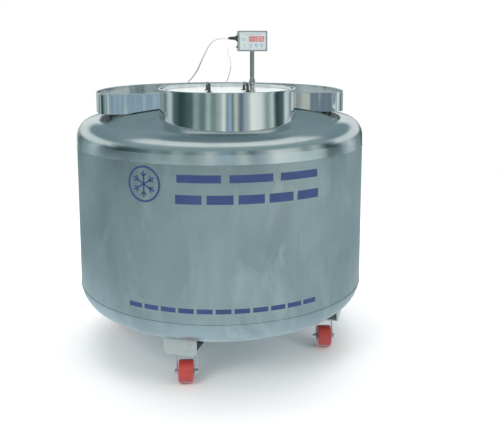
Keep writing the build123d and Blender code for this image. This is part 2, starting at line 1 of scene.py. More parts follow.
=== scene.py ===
import bpy
from math import cos, pi, radians, sin, sqrt
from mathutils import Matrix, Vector


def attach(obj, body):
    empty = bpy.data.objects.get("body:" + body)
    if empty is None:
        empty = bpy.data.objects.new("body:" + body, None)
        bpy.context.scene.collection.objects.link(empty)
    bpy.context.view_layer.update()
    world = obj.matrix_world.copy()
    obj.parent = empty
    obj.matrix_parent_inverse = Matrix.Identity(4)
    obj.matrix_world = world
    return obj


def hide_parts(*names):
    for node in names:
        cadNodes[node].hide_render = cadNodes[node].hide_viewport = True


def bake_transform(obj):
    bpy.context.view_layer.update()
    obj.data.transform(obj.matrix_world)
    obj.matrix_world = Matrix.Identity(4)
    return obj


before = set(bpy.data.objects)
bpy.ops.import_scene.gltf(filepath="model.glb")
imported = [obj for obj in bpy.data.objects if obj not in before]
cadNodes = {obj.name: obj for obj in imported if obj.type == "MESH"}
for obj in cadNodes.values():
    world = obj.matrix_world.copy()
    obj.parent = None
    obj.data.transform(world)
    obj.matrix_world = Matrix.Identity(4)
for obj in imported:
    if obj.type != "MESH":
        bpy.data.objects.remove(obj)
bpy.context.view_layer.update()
print("frame loaded:", len(cadNodes), "nodes")


view = {"place": (-0.2425, -2.7239, 1.1847), "down": 8.228, "turn": 7.501, "lens": 50.45, "shift": -0.15}

bpy.ops.object.camera_add(
    location=view["place"], rotation=(radians(90 - view["down"]), 0, -radians(view["turn"])))
camera = bpy.context.object
camera.name = "viewCamera"
camera.data.sensor_width = 36
camera.data.lens = view["lens"]
camera.data.shift_y = view["shift"]
bpy.context.scene.camera = camera
bpy.context.scene.view_settings.view_transform = "Standard"
print("camera placed")


def startFresh():
    if bpy.context.object is not None and bpy.context.object.mode != "OBJECT":
        bpy.ops.object.mode_set(mode="OBJECT")
    bpy.ops.object.select_all(action="DESELECT")


def selectOnly(*pieces):
    startFresh()
    for piece in pieces:
        piece.select_set(True)
    bpy.context.view_layer.objects.active = pieces[-1]


def pick(piece, kind, test):
    # selects faces, edges or vertices by their place, and leaves the piece in edit mode
    bpy.ops.object.mode_set(mode="EDIT")
    bpy.ops.mesh.select_mode(type=kind)
    bpy.ops.mesh.select_all(action="DESELECT")
    bpy.ops.object.mode_set(mode="OBJECT")
    parts = {"FACE": piece.data.polygons, "EDGE": piece.data.edges, "VERT": piece.data.vertices}[kind]
    for part in parts:
        part.select = bool(test(part))
    bpy.ops.object.mode_set(mode="EDIT")


def applyModifier(piece, kind, **settings):
    modifier = piece.modifiers.new(kind.title(), kind)
    for setting, value in settings.items():
        setattr(modifier, setting, value)
    bpy.context.view_layer.objects.active = piece
    bpy.ops.object.modifier_apply(modifier=modifier.name)


def applyPlace(piece):
    selectOnly(piece)
    bpy.ops.object.transform_apply(location=True, rotation=True, scale=True)


def copyOf(piece, place=(0, 0, 0), turn=(0, 0, 0)):
    selectOnly(piece)
    bpy.ops.object.duplicate()
    twin = bpy.context.object
    twin.location = place
    twin.rotation_euler = turn
    applyPlace(twin)
    return twin


def joinAll(pieces, name):
    selectOnly(*pieces)
    if len(pieces) > 1:
        bpy.ops.object.join()
    joined = bpy.context.object
    joined.name = name
    return joined


def finishPiece(piece, name, body, material, smooth=32):
    applyPlace(piece)
    bpy.ops.object.shade_smooth_by_angle(angle=radians(smooth))
    piece.name = name
    piece.data.name = name
    piece.data.materials.clear()
    piece.data.materials.append(material)
    if body:
        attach(piece, body)
    return piece


def turned(profile, sides=48):
    # a turned solid about Z, drawn up step by step from its bottom disc: (radius, height) pairs
    radius, height = profile[0]
    startFresh()
    bpy.ops.mesh.primitive_circle_add(vertices=sides, radius=radius, fill_type="NGON",
                                      location=(0, 0, height))
    piece = bpy.context.object
    applyPlace(piece)
    bpy.ops.object.mode_set(mode="EDIT")
    bpy.ops.mesh.select_all(action="SELECT")
    for nextRadius, nextHeight in profile[1:]:
        bpy.ops.mesh.extrude_region_move(TRANSFORM_OT_translate={"value": (0, 0, nextHeight - height)})
        factor = nextRadius / radius
        bpy.ops.transform.resize(value=(factor, factor, 1), center_override=(0, 0, nextHeight))
        radius, height = nextRadius, nextHeight
    bpy.ops.mesh.select_all(action="SELECT")
    bpy.ops.mesh.normals_make_consistent(inside=False)
    bpy.ops.object.mode_set(mode="OBJECT")
    return piece


def roundedBlock(low, high, bevel, segments=2):
    startFresh()
    middle = [(a + b) / 2 for a, b in zip(low, high)]
    bpy.ops.mesh.primitive_cube_add(size=1, location=middle)
    block = bpy.context.object
    block.scale = [b - a for a, b in zip(low, high)]
    applyPlace(block)
    applyModifier(block, "BEVEL", width=bevel, segments=segments, limit_method="ANGLE", harden_normals=False)
    return block


powerLead = {
    "radius": 0.0025,
    "route": [
        (0.0015, -0.3, 1.1845), (-0.028, -0.3, 1.1845), (-0.05, -0.272, 1.176), (-0.06, -0.215, 1.1575),
        (-0.0645, -0.15, 1.139), (-0.069, -0.08, 1.1185), (-0.0735, -0.01, 1.0985), (-0.077, 0.06, 1.078),
        (-0.0805, 0.13, 1.059), (-0.085, 0.202, 1.0415), (-0.09, 0.272, 1.0265), (-0.094, 0.338, 1.0135),
        (-0.0975, 0.395, 1.0035), (-0.0995, 0.44, 0.9975), (-0.1015, 0.482, 0.9945), (-0.105, 0.513, 0.971),
        (-0.1085, 0.533, 0.93), (-0.111, 0.547, 0.878), (-0.112, 0.5495, 0.812), (-0.11, 0.551, 0.74),
        (-0.113, 0.5495, 0.668), (-0.116, 0.55, 0.596), (-0.1135, 0.5515, 0.524), (-0.11, 0.5505, 0.452),
        (-0.112, 0.551, 0.38), (-0.116, 0.5505, 0.31), (-0.114, 0.552, 0.24), (-0.111, 0.5505, 0.17),
        (-0.112, 0.552, 0.108), (-0.108, 0.557, 0.06), (-0.096, 0.567, 0.024), (-0.072, 0.578, 0.005),
        (-0.043, 0.5855, 0.0028), (-0.015, 0.588, 0.0028)],
    "coilCentre": (0, 0.555),
    "coilTurns": 5.5,
    "pointsPerTurn": 24,
    # degrees wound, radius, height: three turns side by side on the floor, then back out on top of them
    "winding": [(0, 0.0329, 0.0025), (315, 0.0329, 0.0025), (360, 0.0279, 0.0025), (675, 0.0279, 0.0025),
                (720, 0.0229, 0.0025), (990, 0.0229, 0.0025), (1035, 0.0229, 0.0075), (1305, 0.0229, 0.0075),
                (1350, 0.0279, 0.0075), (1665, 0.0279, 0.0075), (1710, 0.0329, 0.0075), (1920, 0.0329, 0.0075),
                (1980, 0.0329, 0.0098)],
    "plugEnd": (-0.012, 0.522, 0.011),
}
sensorLead = {
    "radius": 0.0015,
    "route": [
        (0.0295, -0.3, 1.155), (0.011, -0.3, 1.155), (0.0005, -0.287, 1.15), (0.003, -0.262, 1.1395),
        (0.011, -0.216, 1.123), (0.023, -0.16, 1.107), (0.03, -0.104, 1.0915), (0.035, -0.048, 1.077),
        (0.0395, 0.008, 1.063), (0.043, 0.064, 1.05), (0.046, 0.118, 1.038), (0.0485, 0.171, 1.0265),
        (0.0515, 0.224, 1.0165), (0.055, 0.277, 1.0085), (0.0585, 0.331, 1.002), (0.062, 0.385, 0.997),
        (0.0655, 0.437, 0.994), (0.0685, 0.484, 0.993), (0.0715, 0.504, 0.976), (0.0725, 0.5085, 0.95),
        (0.0725, 0.5085, 0.925)],
}


def windingAt(degrees):
    for before, after in zip(powerLead["winding"], powerLead["winding"][1:]):
        if degrees <= after[0]:
            share = (degrees - before[0]) / (after[0] - before[0])
            return [a + (b - a) * share for a, b in zip(before[1:], after[1:])]
    return powerLead["winding"][-1][1:]


def coilPoints():
    steps = powerLead["pointsPerTurn"]
    outset = 1 / cos(pi / steps)  # the spline runs inside its points
    points = []
    for index in range(int(powerLead["coilTurns"] * steps) + 1):
        degrees = index * 360 / steps
        radius, height = windingAt(degrees)
        angle = radians(90 - degrees)
        points.append((powerLead["coilCentre"][0] + radius * outset * cos(angle),
                       powerLead["coilCentre"][1] + radius * outset * sin(angle), height))
    return points


def layCord(name, points, radius):
    # the cord's own line as a spline, read back as a path, then given its thickness
    line = bpy.data.curves.new(name + "Line", "CURVE")
    line.dimensions = "3D"
    line.resolution_u = 5
    spline = line.splines.new("NURBS")
    spline.points.add(len(points) - 1)
    for point, place in zip(spline.points, points):
        point.co = (*place, 1)
    spline.order_u = 3
    spline.use_endpoint_u = True
    lineObject = bpy.data.objects.new(name + "Line", line)
    path = [vertex.co.copy() for vertex in bpy.data.meshes.new_from_object(lineObject).vertices]
    line.bevel_depth = radius
    line.bevel_resolution = 3
    line.use_fill_caps = True
    tube = bpy.data.objects.new(name, bpy.data.meshes.new_from_object(lineObject))
    bpy.context.scene.collection.objects.link(tube)
    bpy.data.objects.remove(lineObject)
    length = sum((b - a).length for a, b in zip(path, path[1:]))
    print(name, "length", round(length, 3))
    return tube, path, length


leadTube, leadPath, leadLength = layCord(
    "powerLeadTube", powerLead["route"] + coilPoints() + [powerLead["plugEnd"]], powerLead["radius"])
sensorTube, sensorPath, sensorLength = layCord("sensorLeadTube", sensorLead["route"], sensorLead["radius"])
print("cords laid")


def newMaterial(name, colour, metal=0.0, rough=0.5):
    material = bpy.data.materials.new(name)
    material.use_nodes = True
    shader = material.node_tree.nodes["Principled BSDF"]
    shader.inputs["Base Color"].default_value = (*colour, 1)
    shader.inputs["Metallic"].default_value = metal
    shader.inputs["Roughness"].default_value = rough
    return material


def addNode(material, kind, **settings):
    node = material.node_tree.nodes.new(kind)
    for setting, value in settings.items():
        setattr(node, setting, value)
    return node


def link(material, start, end):
    material.node_tree.links.new(start, end)


def objectPlace(material, stretch, centre=(0, 0, 0)):
    place = addNode(material, "ShaderNodeTexCoord")
    mapping = addNode(material, "ShaderNodeMapping")
    mapping.inputs["Scale"].default_value = stretch
    mapping.inputs["Location"].default_value = [-c * s for c, s in zip(centre, stretch)]
    link(material, place.outputs["Object"], mapping.inputs["Vector"])
    return mapping.outputs["Vector"]


def cloud(material, stretch, detail=4.0, blur=0.55, twist=0.0):
    # a noise drawn out along the axes by its stretch
    noise = addNode(material, "ShaderNodeTexNoise")
    noise.inputs["Scale"].default_value = 1
    noise.inputs["Detail"].default_value = detail
    noise.inputs["Roughness"].default_value = blur
    noise.inputs["Distortion"].default_value = twist
    link(material, objectPlace(material, stretch), noise.inputs["Vector"])
    return noise.outputs[0]


def cells(material, stretch, feature="F1"):
    cell = addNode(material, "ShaderNodeTexVoronoi", feature=feature)
    cell.inputs["Scale"].default_value = 1
    link(material, objectPlace(material, stretch), cell.inputs["Vector"])
    return cell.outputs["Distance"]


def spread(material, value, low, high, start=0.0, end=1.0):
    rangeNode = addNode(material, "ShaderNodeMapRange")
    link(material, value, rangeNode.inputs["Value"])
    rangeNode.inputs["From Min"].default_value = low
    rangeNode.inputs["From Max"].default_value = high
    rangeNode.inputs["To Min"].default_value = start
    rangeNode.inputs["To Max"].default_value = end
    return rangeNode.outputs["Result"]


def layColour(material, value, colour, low, high, amount=1.0):
    base = material.node_tree.nodes["Principled BSDF"].inputs["Base Color"]
    mix = addNode(material, "ShaderNodeMix", data_type="RGBA")
    link(material, spread(material, value, low, high, 0, amount), mix.inputs[0])
    mix.inputs[6].default_value = base.default_value
    if base.links:
        link(material, base.links[0].from_socket, mix.inputs[6])
    mix.inputs[7].default_value = (*colour, 1)
    link(material, mix.outputs[2], base)


def layRough(material, value, low, high, smooth, coarse):
    rough = material.node_tree.nodes["Principled BSDF"].inputs["Roughness"]
    link(material, spread(material, value, low, high, smooth, coarse), rough)


def layBump(material, value, depth, strength=1.0):
    normal = material.node_tree.nodes["Principled BSDF"].inputs["Normal"]
    bump = addNode(material, "ShaderNodeBump")
    bump.inputs["Distance"].default_value = depth
    bump.inputs["Strength"].default_value = strength
    link(material, value, bump.inputs["Height"])
    if normal.links:
        link(material, normal.links[0].from_socket, bump.inputs["Normal"])
    link(material, bump.outputs["Normal"], normal)


def setShader(material, **values):
    shader = material.node_tree.nodes["Principled BSDF"]
    for name, value in values.items():
        shader.inputs[name.replace("_", " ")].default_value = value


def satinSheet(name, colour, smooth, coarse, grain, streakBump=0.00005):
    # satin sheet: big soft clouds, wiped smears, faint streaks along the grain and a fine brushed tooth
    material = newMaterial(name, colour, metal=1.0, rough=0.3)
    clouds = cloud(material, (2.6, 2.6, 1.9), 5, 0.5, 0.4)
    smears = cloud(material, (7, 7, 3.0), 6, 0.62, 0.9)
    streaks = cloud(material, grain, 3, 0.5)
    fine = cloud(material, [g * 6 for g in grain], 2)
    swell = cloud(material, (2.6, 2.6, 1.9), 1, 0.3)
    layColour(material, clouds, [c * 0.72 for c in colour], 0.40, 0.66)
    layColour(material, smears, [min(1, c * r) for c, r in zip(colour, (1.34, 1.28, 1.24))], 0.50, 0.74, 0.8)
    layColour(material, streaks, [c * 0.88 for c in colour], 0.48, 0.8, 0.6)
    layRough(material, smears, 0.25, 0.8, smooth, coarse)
    layBump(material, swell, 0.006, 0.5)
    layBump(material, streaks, streakBump)
    layBump(material, fine, 0.00001)
    return material


def polishedSheet(name, colour, rough, wave, stretch):
    # near-mirror sheet: long soft waves, hairline scratches and a few dull patches
    material = newMaterial(name, colour, metal=1.0, rough=rough)
    waves = cloud(material, stretch, 2, 0.4)
    patches = cloud(material, (9, 9, 9), 5, 0.6)
    scratches = cloud(material, (420, 60, 420), 3)
    layColour(material, patches, [c * 0.9 for c in colour], 0.5, 0.72)
    layRough(material, patches, 0.3, 0.75, rough * 0.7, rough * 1.5)
    layBump(material, waves, wave)
    layBump(material, scratches, 0.000008)
    return material


def moulded(name, colour, rough, grain, depth, worn=None):
    # moulded plastic or rubber: fine grain, soft colour drift, handled patches
    material = newMaterial(name, colour, rough=rough)
    drift = cloud(material, (18, 18, 18), 4)
    pores = cloud(material, (grain, grain, grain), 3, 0.6)
    layColour(material, drift, worn or [c * 0.85 for c in colour], 0.5, 0.8, 0.7)
    layRough(material, drift, 0.3, 0.75, rough * 0.85, min(1, rough * 1.2))
    layBump(material, pores, depth)
    return material


def plated(name, colour, rough):
    # zinc plate: spangled, a little uneven, darker where it is dull
    material = newMaterial(name, colour, metal=1.0, rough=rough)
    spangle = cells(material, (120, 120, 120))
    stain = cloud(material, (30, 30, 30), 5, 0.65)
    layColour(material, spangle, [c * 0.88 for c in colour], 0.2, 0.7, 0.6)
    layColour(material, stain, [c * 0.6 for c in colour], 0.55, 0.75, 0.7)
    layRough(material, stain, 0.3, 0.75, rough * 0.75, rough * 1.4)
    layBump(material, stain, 0.0001)
    return material


finishes = {
    "vesselSatin": satinSheet("vesselSatin", (0.42, 0.50, 0.51), 0.24, 0.40, (26, 26, 0.8)),
    "bottomSatin": satinSheet("bottomSatin", (0.42, 0.50, 0.51), 0.26, 0.42, (9, 9, 9), 0.00002),
    "headPolish": polishedSheet("headPolish", (0.55, 0.62, 0.63), 0.16, 0.0075, (3.5, 3.5, 3)),
    "collarMirror": polishedSheet("collarMirror", (0.64, 0.69, 0.69), 0.07, 0.0020, (13, 13, 0.5)),
    "trayMirror": polishedSheet("trayMirror", (0.68, 0.73, 0.74), 0.09, 0.0090, (9, 9, 1.0)),
    "trayFloor": satinSheet("trayFloor", (0.78, 0.82, 0.83), 0.22, 0.34, (9, 9, 9)),
    "innerSatin": satinSheet("innerSatin", (0.62, 0.64, 0.64), 0.24, 0.4, (20, 20, 2)),
    "weldBead": plated("weldBead", (0.50, 0.55, 0.56), 0.30),
    "bracketPaint": moulded("bracketPaint", (0.34, 0.39, 0.39), 0.40, 300, 0.00012, (0.27, 0.32, 0.32)),
    "zincPlate": plated("zincPlate", (0.52, 0.53, 0.53), 0.33),
    "neckLaminate": moulded("neckLaminate", (0.42, 0.50, 0.38), 0.38, 90, 0.0002, (0.33, 0.42, 0.30)),
    "tyreRed": moulded("tyreRed", (0.44, 0.048, 0.040), 0.34, 420, 0.00006, (0.32, 0.035, 0.030)),
    "hubGrey": moulded("hubGrey", (0.06, 0.06, 0.06), 0.4, 380, 0.00006),
    "lidWhite": moulded("lidWhite", (0.70, 0.73, 0.73), 0.36, 240, 0.00006, (0.63, 0.66, 0.66)),
    "foamCells": moulded("foamCells", (0.82, 0.80, 0.70), 0.85, 240, 0.0006),
    "rubberBlack": moulded("rubberBlack", (0.022, 0.023, 0.024), 0.55, 300, 0.0001, (0.04, 0.04, 0.04)),
    "displayShell": moulded("displayShell", (0.50, 0.56, 0.58), 0.42, 700, 0.00003, (0.46, 0.52, 0.54)),
    "displayBorder": moulded("displayBorder", (0.20, 0.23, 0.24), 0.4, 700, 0.00003),
    "windowRed": moulded("windowRed", (0.46, 0.20, 0.20), 0.16, 200, 0.00001, (0.40, 0.17, 0.17)),
    "boardGreen": moulded("boardGreen", (0.03, 0.16, 0.07), 0.4, 500, 0.00005, (0.02, 0.10, 0.05)),
    "digitBlack": moulded("digitBlack", (0.05, 0.03, 0.03), 0.35, 500, 0.00003),
    "digitLit": moulded("digitLit", (0.75, 0.48, 0.46), 0.3, 500, 0.00001),
    "keyBlue": moulded("keyBlue", (0.36, 0.45, 0.53), 0.4, 600, 0.00003),
    "markBlue": moulded("markBlue", (0.022, 0.046, 0.15), 0.42, 500, 0.00002, (0.035, 0.070, 0.21)),
    "lampGreen": moulded("lampGreen", (0.10, 0.5, 0.2), 0.2, 200, 0.00001),
    "plasticBlack": moulded("plasticBlack", (0.035, 0.038, 0.04), 0.45, 500, 0.00005, (0.06, 0.06, 0.065)),
    "handleBlack": moulded("handleBlack", (0.035, 0.04, 0.045), 0.28, 260, 0.00005, (0.07, 0.075, 0.08)),
    "leadGrey": moulded("leadGrey", (0.60, 0.62, 0.64), 0.45, 900, 0.00002, (0.54, 0.56, 0.57)),
    "sensorWhite": moulded("sensorWhite", (0.80, 0.80, 0.79), 0.4, 900, 0.00002),
    "pinBrass": plated("pinBrass", (0.72, 0.55, 0.26), 0.25),
    "canisterSteel": plated("canisterSteel", (0.5, 0.51, 0.5), 0.3),
    "postSteel": polishedSheet("postSteel", (0.40, 0.42, 0.42), 0.24, 0.0002, (30, 30, 2)),
}
setShader(finishes["windowRed"], Coat_Weight=0.6, Coat_Roughness=0.08)
setShader(finishes["lampGreen"], Coat_Weight=0.7)
setShader(finishes["tyreRed"], Coat_Weight=0.25, Coat_Roughness=0.25)
setShader(finishes["lidWhite"], Coat_Weight=0.3, Coat_Roughness=0.15)
setShader(finishes["digitLit"], Emission_Color=(1, 0.32, 0.34, 1), Emission_Strength=0.15)


def foilFinish():
    # crinkled foil: sharp creases from cells, over a bright base
    material = newMaterial("foilCrinkle", (0.86, 0.86, 0.84), metal=1.0, rough=0.16)
    creases = cells(material, (26, 26, 26), "DISTANCE_TO_EDGE")
    fine = cloud(material, (90, 90, 90), 4)
    layColour(material, fine, (0.7, 0.7, 0.68), 0.5, 0.75)
    layRough(material, fine, 0.3, 0.7, 0.1, 0.28)
    layBump(material, creases, 0.003)
    layBump(material, fine, 0.0006)
    return material


finishes["foilCrinkle"] = foilFinish()

nodeFinishes = {
    "outer_shell": "vesselSatin", "outer_bottom_head": "bottomSatin", "outer_top_head": "headPolish",
    "inner_cylinder": "innerSatin", "inner_top_head": "innerSatin", "inner_bottom_head": "innerSatin",
    "insulation_blanket": "foilCrinkle", "support_post": "neckLaminate", "adsorbent_canister": "canisterSteel",
    "evacuation_port": "innerSatin", "port_cap": "plasticBlack", "neck_tube": "neckLaminate",
    "neck_flange": "innerSatin", "neck_collar": "collarMirror", "tray_floor": "trayFloor",
    "tray_band": "trayMirror", "tray_feet": "headPolish", "caster_brackets": "bracketPaint",
    "caster_top_plates": "zincPlate", "caster_bolts": "zincPlate", "carousel_pivot": "innerSatin",
    "sensor_feedthrough": "zincPlate", "mains_plug": "plasticBlack", "plug_pins": "pinBrass",
    "lid_cover": "lidWhite", "foam_plug": "foamCells", "lid_seal": "rubberBlack", "lid_handles": "handleBlack",
    "gauge_post": "postSteel", "probe_rod": "canisterSteel", "gland_body": "zincPlate", "gland_nut": "postSteel",
    "display_front": "displayShell", "display_back": "displayBorder", "display_window": "windowRed",
    "circuit_board": "boardGreen", "digit_module": "digitBlack", "status_lamp": "lampGreen",
    "lead_gland": "plasticBlack", "sensor_grommet": "plasticBlack", "carousel_tray": "innerSatin",
    "carousel_dividers": "innerSatin", "key_1": "keyBlue", "key_2": "keyBlue", "key_3": "keyBlue",
}
for number in range(1, 5):
    nodeFinishes[f"caster_fork_{number}"] = "zincPlate"
    nodeFinishes[f"caster_hub_{number}"] = "hubGrey"
    nodeFinishes[f"caster_tyre_{number}"] = "tyreRed"

for nodeName, finishName in nodeFinishes.items():
    node = cadNodes[nodeName]
    if not node.material_slots:
        node.data.materials.append(finishes[finishName])
    for materialSlot in node.material_slots:
        materialSlot.material = finishes[finishName]
print("finishes made:", len(finishes))


def plugProfile():
    # neck with its ribs, then the grip and the flat face that the pins stand in
    profile = [(0.0031, 0)]
    for rib in range(plug["ribs"]):
        start = 0.001 + rib * plug["ribPitch"]
        swell = 0.0034 + rib * 0.00030
        profile += [(swell, start), (swell, start + 0.0016), (swell - 0.0007, start + 0.0019),
                    (swell - 0.0007, start + plug["ribPitch"] - 0.0003)]
    return profile + [(0.0062, 0.0235), (0.0088, 0.0265), (0.0108, 0.032), (0.0109, 0.040), (0.0101, 0.0415),
                      (0.0101, 0.0435), (0.0109, 0.045), (0.0109, 0.060), (0.0101, 0.0618), (0.004, 0.0620)]


plug = {"ribs": 8, "ribPitch": 0.0027, "neck": (-0.010, 0.522, 0.011)}
plugBody = turned(plugProfile(), 40)
plugBody.rotation_euler = (0, -pi / 2, 0)
plugBody.location = plug["neck"]
finishPiece(plugBody, "plugBody", "root", finishes["plasticBlack"], 40)
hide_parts("mains_plug")

for tube, finishName, slotName in ((leadTube, "leadGrey", "lead_grey"),
                                   (sensorTube, "sensorWhite", "sensor_white")):
    finishPiece(tube, tube.name, None, finishes[finishName], 60)
    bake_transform(tube)
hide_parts("power_lead", "lead_coil")
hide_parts("sensor_lead")


welds = {"collarRadius": 0.2382, "collarBead": 0.0021, "bracketBead": 0.0022, "ripple": 0.00035,
         "bracketFace": -0.4812, "strip": 0.118, "stripHeight": 0.112}
neckCentre = (0, -0.262)
casterAngles = (-22.5, 67.5, 157.5, 247.5)
swivelRadius = 0.415

rippleTexture = bpy.data.textures.new("weldRipple", "CLOUDS")
rippleTexture.noise_scale = 0.006


def roughenBead(bead, strength):
    applyModifier(bead, "DISPLACE", texture=rippleTexture, texture_coords="LOCAL", strength=strength,
                  mid_level=0.6)
    return bead


def lineToBead(line, radius):
    # gives a row of edges the thickness of a bead
    selectOnly(line)
    bpy.ops.object.convert(target="CURVE")
    line = bpy.context.object
    line.data.bevel_depth = radius
    line.data.bevel_resolution = 2
    line.data.use_fill_caps = True
    bpy.ops.object.convert(target="MESH")
    return bpy.context.object


def projectLine(line, nodeName, up):
    applyModifier(line, "SHRINKWRAP", target=cadNodes[nodeName], wrap_method="PROJECT", use_project_z=True,
                  use_positive_direction=up, use_negative_direction=not up)


def collarBead():
    startFresh()
    bpy.ops.mesh.primitive_circle_add(vertices=320, radius=welds["collarRadius"], location=(*neckCentre, 1.0))
    ringLine = bpy.context.object
    applyPlace(ringLine)
    projectLine(ringLine, "outer_top_head", False)
    return roughenBead(lineToBead(ringLine, welds["collarBead"]), welds["ripple"] * 2)


def bracketBead():
    # along the joint of one bracket's face and the bottom head, before it is turned to its place
    startFresh()
    bpy.ops.mesh.primitive_plane_add(
        size=welds["strip"], location=(0, welds["bracketFace"] + welds["strip"] / 2, welds["stripHeight"]))
    strip = bpy.context.object
    applyPlace(strip)
    pick(strip, "VERT", lambda vertex: vertex.co.y > -0.45)
    bpy.ops.mesh.delete(type="VERT")
    bpy.ops.mesh.select_all(action="SELECT")
    bpy.ops.mesh.subdivide(number_cuts=40)
    bpy.ops.object.mode_set(mode="OBJECT")
    projectLine(strip, "outer_bottom_head", True)
    return roughenBead(lineToBead(strip, welds["bracketBead"]), welds["ripple"] * 2)


finishPiece(collarBead(), "collarBead", "root", finishes["weldBead"], 60)
firstBead = bracketBead()
bracketBeads = [copyOf(firstBead, turn=(0, 0, radians(angle))) for angle in casterAngles]
bpy.data.objects.remove(firstBead)
finishPiece(joinAll(bracketBeads, "bracketBeads"), "bracketBeads", "root",
            finishes["bracketPaint"], 60)
print("weld beads laid")


tray = {"middle": 0.4725, "front": -0.1645, "cutBehind": 0.0218, "cornerCut": 0.0222, "collarFit": 0.2405,
        "rim": 0.984, "hem": 0.0022, "lapAt": 0.405, "same": 0.0001}


def trayHem():
    # the rolled hem along the rim: an arc, cut off in front, with both straight edges run in to the collar
    cutAt = tray["front"] + tray["cutBehind"]
    cornerX = sqrt(tray["middle"] ** 2 - tray["front"] ** 2)
    endX = sqrt(tray["collarFit"] ** 2 - (tray["front"] - neckCentre[1]) ** 2)
    startFresh()
    bpy.ops.mesh.primitive_circle_add(vertices=320, radius=tray["middle"], location=(0, 0, tray["rim"]))
    hem = bpy.context.object
    applyPlace(hem)
    bpy.ops.object.mode_set(mode="EDIT")
    bpy.ops.mesh.select_all(action="SELECT")
    bpy.ops.mesh.bisect(plane_co=(0, cutAt, 0), plane_no=(0, 1, 0), clear_inner=True)
    for side in (-1, 1):
        pick(hem, "VERT", lambda vertex: vertex.co.x * side > 0 and abs(vertex.co.y - cutAt) < tray["same"])
        here = [vertex.co.copy() for vertex in hem.data.vertices if vertex.co.x * side > 0
                and abs(vertex.co.y - cutAt) < tray["same"]][0]
        bpy.ops.mesh.extrude_vertices_move(
            TRANSFORM_OT_translate={"value": (side * cornerX - here.x, tray["front"] - here.y, 0)})
        bpy.ops.mesh.extrude_vertices_move(TRANSFORM_OT_translate={"value": (side * (endX - cornerX), 0, 0)})
    pick(hem, "VERT", lambda vertex: abs(abs(vertex.co.x) - cornerX) < 0.0002
         and abs(vertex.co.y - tray["front"]) < 0.0002)
    bpy.ops.mesh.bevel(offset=tray["cornerCut"], segments=8, affect="VERTICES")
    bpy.ops.object.mode_set(mode="OBJECT")
    return lineToBead(hem, tray["hem"])


def lapSeam(x):
    # where the band's sheet laps over itself: a narrow upright strip with rounded edges
    return roundedBlock((x, -0.1669, 0.9135), (x + 0.014, -0.1655, 0.9825), 0.0005)


finishPiece(trayHem(), "trayHem", "root", finishes["trayMirror"], 50)
finishPiece(lapSeam(tray["lapAt"]), "trayLap", "root", finishes["trayMirror"], 30)
print("tray hemmed")


display = {"left": 0.0335, "right": 0.1345, "low": 1.140, "high": 1.210, "face": -0.317, "back": -0.283,
           "border": 0.0045, "windowX": 0.0965, "windowZ": 1.182, "reading": "-196"}
leadGland = {"base": (0.0335, -0.3, 1.1845), "ribs": 7, "ribPitch": 0.0028}
gaugePlace = (0.084, -0.3)
segmentsOf = {"-": "g", "1": "bc", "9": "abcdfg", "6": "acdefg"}
segmentPlaces = {"a": (0, 0.0052, 0), "b": (0.0026, 0.0026, 90), "c": (0.0026, -0.0026, 90),
                 "d": (0, -0.0052, 0), "e": (-0.0026, -0.0026, 90), "f": (-0.0026, 0.0026, 90), "g": (0, 0, 0)}


def displayFrame():
    # the darker rim round the face: a block opened through from front to back
    frameBlock = roundedBlock((display["left"], display["face"] - 0.0011, display["low"]),
                              (display["right"], display["face"] + 0.0004, display["high"]), 0.0001, 1)
    pick(frameBlock, "EDGE", lambda edge: abs((frameBlock.data.vertices[edge.vertices[0]].co
                                              - frameBlock.data.vertices[edge.vertices[1]].co).y) > 0.001)
    bpy.ops.mesh.bevel(offset=0.003, segments=4)
    for facing in (-1, 1):
        pick(frameBlock, "FACE", lambda face: face.normal.y * facing > 0.99 and face.area > 0.003)
        bpy.ops.mesh.inset(thickness=display["border"])
        bpy.ops.mesh.delete(type="FACE")
    bpy.ops.mesh.select_mode(type="EDGE")
    bpy.ops.mesh.select_all(action="DESELECT")
    bpy.ops.mesh.select_non_manifold()
    bpy.ops.mesh.bridge_edge_loops()
    bpy.ops.mesh.select_all(action="SELECT")
    bpy.ops.mesh.normals_make_consistent(inside=False)
    bpy.ops.object.mode_set(mode="OBJECT")
    return frameBlock


def segmentBar():
    startFresh()
    bpy.ops.mesh.primitive_circle_add(vertices=6, radius=0.0024, fill_type="NGON", rotation=(pi / 2, 0, 0))
    bar = bpy.context.object
    applyPlace(bar)
    pick(bar, "VERT", lambda vertex: abs(vertex.co.z) > 0.0005)
    bpy.ops.transform.resize(value=(1.55, 1, 0.30), center_override=(0, 0, 0))
    bpy.ops.mesh.select_all(action="SELECT")
    bpy.ops.mesh.extrude_region_move(TRANSFORM_OT_translate={"value": (0, -0.00015, 0)})
    bpy.ops.mesh.select_all(action="SELECT")
    bpy.ops.mesh.normals_make_consistent(inside=False)
    bpy.ops.object.mode_set(mode="OBJECT")
    return bar


def digits():
    bar = segmentBar()
    bars = []
    for index, character in enumerate(display["reading"]):
        middle = display["windowX"] + (index - 1.5) * 0.0115
        for letter in segmentsOf[character]:
            x, z, turn = segmentPlaces[letter]
            bars.append(copyOf(bar, (middle + x, display["face"] + 0.00049, display["windowZ"] + z),
                               (0, radians(turn), 0)))
    bpy.data.objects.remove(bar)
    return joinAll(bars, "digitBars")


def faceMarks():
    # short printed dashes under the keys and over the window
    marks = []
    for x, z, width in ((0.0775, 1.1545, 0.006), (0.0965, 1.1545, 0.006), (0.1155, 1.1545, 0.006),
                        (0.0565, 1.1565, 0.005), (0.052, 1.183, 0.016), (0.052, 1.178, 0.012),
                        (0.084, 1.1985, 0.058)):
        marks.append(roundedBlock((x - width / 2, display["face"] - 0.00012, z - 0.0006),
                                  (x + width / 2, display["face"] + 0.0001, z + 0.0006), 0.0001, 1))
    return joinAll(marks, "faceMarks")


